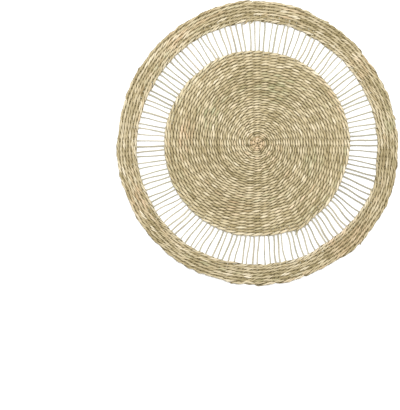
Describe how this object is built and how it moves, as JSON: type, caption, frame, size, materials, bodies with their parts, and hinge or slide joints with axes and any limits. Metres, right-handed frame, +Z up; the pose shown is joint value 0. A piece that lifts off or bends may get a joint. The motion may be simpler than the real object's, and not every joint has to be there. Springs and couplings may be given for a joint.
{
  "type": "seagrass placemat",
  "caption": "Round flat placemat twined from seagrass, with a dense woven centre, an openwork band of bare radial stakes and a twined rim.",
  "frame": {"origin": "middle of the mat's outline, on its underside", "axes": "+Z up through the mat's thickness, +Y away from the front, +X to the right"},
  "size_m": [0.3782, 0.3822, 0.0055],
  "materials": {
    "weft_straw": "dry matt seagrass strands, straw with olive, tan and brown strands among them",
    "stake_straw": "thin bare seagrass stakes, greyish khaki, slightly shiny along the fibre"
  },
  "bodies": {
    "root": {"woven_centre": "weft_straw", "openwork_band": "stake_straw", "woven_rim": "weft_straw"}
  },
  "joints": []
}
